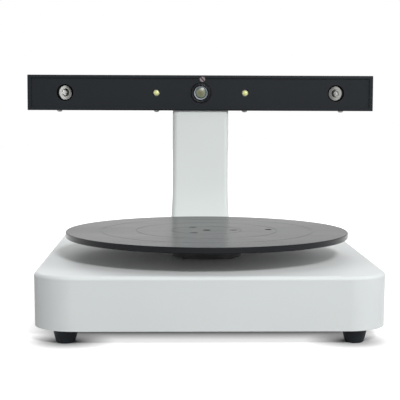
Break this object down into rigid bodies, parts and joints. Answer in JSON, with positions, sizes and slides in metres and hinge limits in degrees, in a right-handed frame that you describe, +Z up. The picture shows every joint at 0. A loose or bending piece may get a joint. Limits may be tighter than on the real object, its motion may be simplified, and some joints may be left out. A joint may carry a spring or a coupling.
{
  "type": "desktop 3d scanner",
  "caption": "Desktop 3d scanner: a white base with a motor-driven black turntable, and a column that carries a bar with a camera, lights and toed-in line lasers.",
  "frame": {"origin": "middle of the base, on the plane that the feet stand on", "axes": "+Z up, the front of the base and the camera look towards -Y, +X to the right as seen from the front"},
  "size_m": [0.294, 0.3, 0.1772],
  "materials": {
    "white_plastic": "moulded, fine satin texture",
    "foot_rubber": "matt moulded rubber",
    "table_black": "satin black, fine turned circles",
    "hub_black": "moulded black",
    "screw_steel": "plain zinc",
    "black_screws": "black oxide",
    "bearing_steel": "ground",
    "cage_brass": "stamped",
    "motor_aluminium": "cast",
    "motor_black": "black laminations",
    "rotor_iron": "ground laminations",
    "bar_black": "black anodised extrusion, satin",
    "panel_black": "satin black",
    "bracket_steel": "sheet steel",
    "board_green": "solder resist",
    "holder_black": "moulded black",
    "lens_black": "black anodised, satin",
    "lens_glass": "coated glass",
    "laser_metal": "nickel plated, satin",
    "laser_glass": "clear moulded lens",
    "led_yellow": "clear epoxy over yellow phosphor",
    "socket_metal": "bright shell",
    "socket_black": "moulded black",
    "rocker_black": "polished black",
    "cable_black": "matt sheath"
  },
  "bodies": {
    "base": {"base_shell": "white_plastic", "bearing_lower_race": "bearing_steel", "bottom_plate": "white_plastic", "bottom_plate_screws": "screw_steel", "camera_board": "board_green", "camera_cable": "cable_black", "camera_screws": "screw_steel", "camera_spacers": "cage_brass", "column": "white_plastic", "column_screws": "screw_steel", "dc_jack": "socket_black", "foot_front_left": "foot_rubber", "foot_front_right": "foot_rubber", "foot_rear_left": "foot_rubber", "foot_rear_right": "foot_rubber", "foot_screws": "screw_steel", "head_bracket": "bracket_steel", "head_bracket_screws": "screw_steel", "head_end_cap_left": "bar_black", "head_end_cap_right": "bar_black", "head_end_cap_screws": "black_screws", "head_floor_screws": "black_screws", "head_front_panel": "panel_black", "head_housing": "bar_black", "laser_barrel_left": "laser_metal", "laser_barrel_right": "laser_metal", "laser_clamp_left": "holder_black", "laser_clamp_right": "holder_black", "laser_lens_left": "laser_glass", "laser_lens_right": "laser_glass", "led_holder_left": "holder_black", "led_holder_right": "holder_black", "led_left": "led_yellow", "led_right": "led_yellow", "lens_barrel": "lens_black", "lens_glass": "lens_glass", "lens_holder": "holder_black", "main_board": "board_green", "main_board_screws": "screw_steel", "motor_bearings": "bearing_steel", "motor_bottom_bell": "motor_aluminium", "motor_screws": "screw_steel", "motor_stator": "motor_black", "motor_top_bell": "motor_aluminium", "panel_screw": "screw_steel", "switch_housing": "socket_black", "usb_socket": "socket_metal"},
    "turntable": {"turntable_disc": "table_black", "turntable_hub": "hub_black", "hub_screws": "screw_steel", "hub_grub_screw": "screw_steel", "motor_shaft": "bearing_steel", "motor_rotor": "rotor_iron", "bearing_upper_race": "bearing_steel"},
    "bearing_cage_body": {"bearing_rollers": "bearing_steel", "bearing_cage": "cage_brass"},
    "rocker": {"switch_rocker": "rocker_black"}
  },
  "joints": [
    {"name": "turntable_spin", "type": "hinge", "parent": "base", "child": "turntable", "pos_m": [0, -0.05, 0.0432], "axis": [0, 0, 1], "continuous": true},
    {"name": "bearing_cage_spin", "type": "hinge", "parent": "base", "child": "bearing_cage_body", "pos_m": [0, -0.05, 0.048], "axis": [0, 0, 1], "continuous": true},
    {"name": "power_rocker", "type": "hinge", "parent": "base", "child": "rocker", "pos_m": [0.078, 0.143, 0.027], "axis": [0, 0, 1], "range_deg": [0, 20]}
  ],
  "couplings": [
    {"joint": "bearing_cage_spin", "follows": "turntable_spin", "ratio": 0.5}
  ]
}
